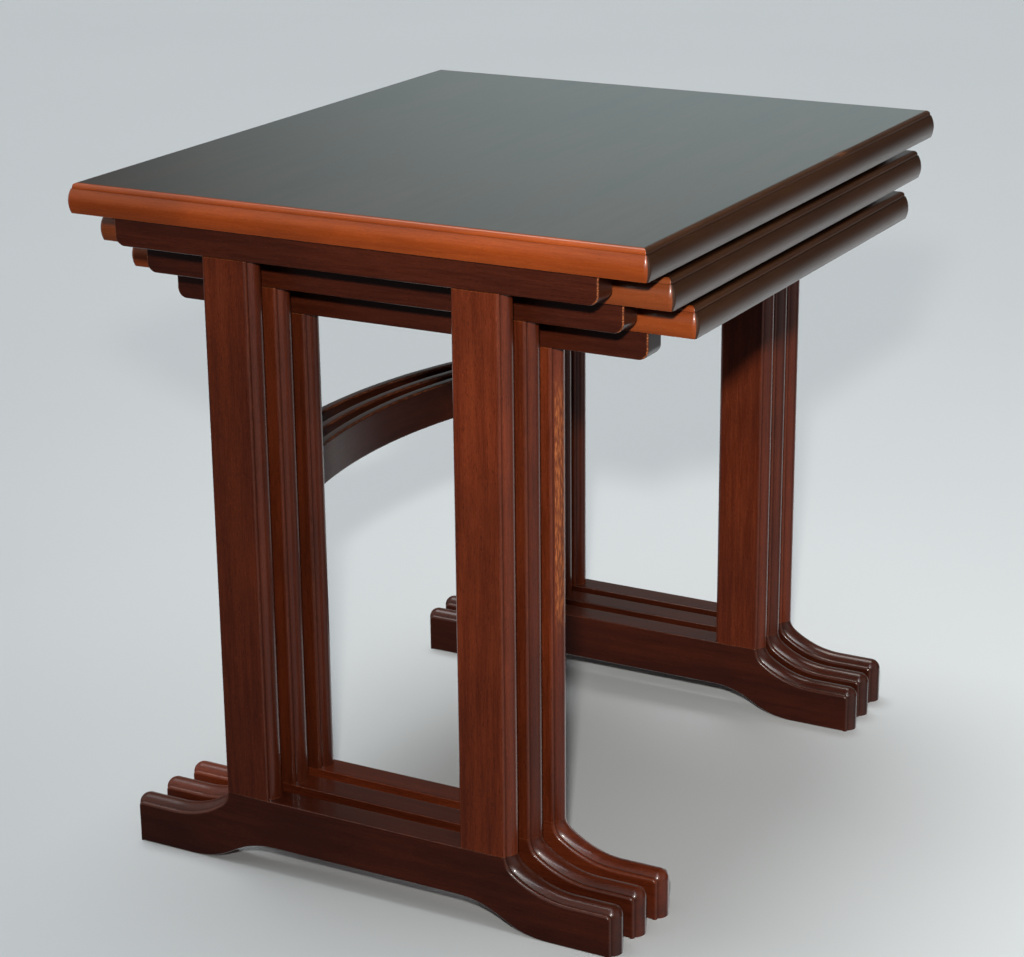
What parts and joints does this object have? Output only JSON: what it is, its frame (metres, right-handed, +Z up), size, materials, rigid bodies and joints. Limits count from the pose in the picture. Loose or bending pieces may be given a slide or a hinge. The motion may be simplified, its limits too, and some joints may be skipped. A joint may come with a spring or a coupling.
{
  "type": "nesting tables",
  "caption": "Nest of three lacquered wood side tables with moulded trestle ends, sledge feet and bowed rear stretchers; each slides out from under the next.",
  "frame": {"origin": "on the floor, in the middle of the closed nest", "axes": "+X from the left end frames to the right ones, +Y from front to rear (the smaller tables pull out towards -Y), +Z up"},
  "size_m": [0.5716, 0.499, 0.55],
  "materials": {
    "veneer": "dark reddish brown veneer, glossy lacquer",
    "lipping": "reddish brown solid wood, satin-gloss lacquer",
    "frame": "dark reddish brown solid wood, satin-gloss lacquer",
    "steel": "plain zinc-plated steel"
  },
  "bodies": {
    "large_table": {"large_top_panel": "veneer", "large_lipping_front": "lipping", "large_lipping_rear": "lipping", "large_lipping_left": "lipping", "large_lipping_right": "lipping", "large_bearer_left": "frame", "large_bearer_right": "frame", "large_front_post_left": "frame", "large_front_post_right": "frame", "large_rear_post_left": "frame", "large_rear_post_right": "frame", "large_foot_left": "frame", "large_foot_right": "frame", "large_bowed_stretcher": "frame", "large_top_screws": "steel"},
    "medium_table": {"medium_top_panel": "veneer", "medium_lipping_front": "lipping", "medium_lipping_rear": "lipping", "medium_lipping_left": "lipping", "medium_lipping_right": "lipping", "medium_bearer_left": "frame", "medium_bearer_right": "frame", "medium_front_post_left": "frame", "medium_front_post_right": "frame", "medium_rear_post_left": "frame", "medium_rear_post_right": "frame", "medium_foot_left": "frame", "medium_foot_right": "frame", "medium_bowed_stretcher": "frame", "medium_top_screws": "steel"},
    "small_table": {"small_top_panel": "veneer", "small_lipping_front": "lipping", "small_lipping_rear": "lipping", "small_lipping_left": "lipping", "small_lipping_right": "lipping", "small_bearer_left": "frame", "small_bearer_right": "frame", "small_front_post_left": "frame", "small_front_post_right": "frame", "small_rear_post_left": "frame", "small_rear_post_right": "frame", "small_foot_left": "frame", "small_foot_right": "frame", "small_bowed_stretcher": "frame", "small_top_screws": "steel"}
  },
  "joints": [
    {"name": "medium_table_slide", "type": "slide", "parent": "large_table", "child": "medium_table", "axis": [0, -1, 0], "range_m": [0, 0.56]},
    {"name": "small_table_slide", "type": "slide", "parent": "medium_table", "child": "small_table", "axis": [0, -1, 0], "range_m": [0, 0.56]}
  ]
}
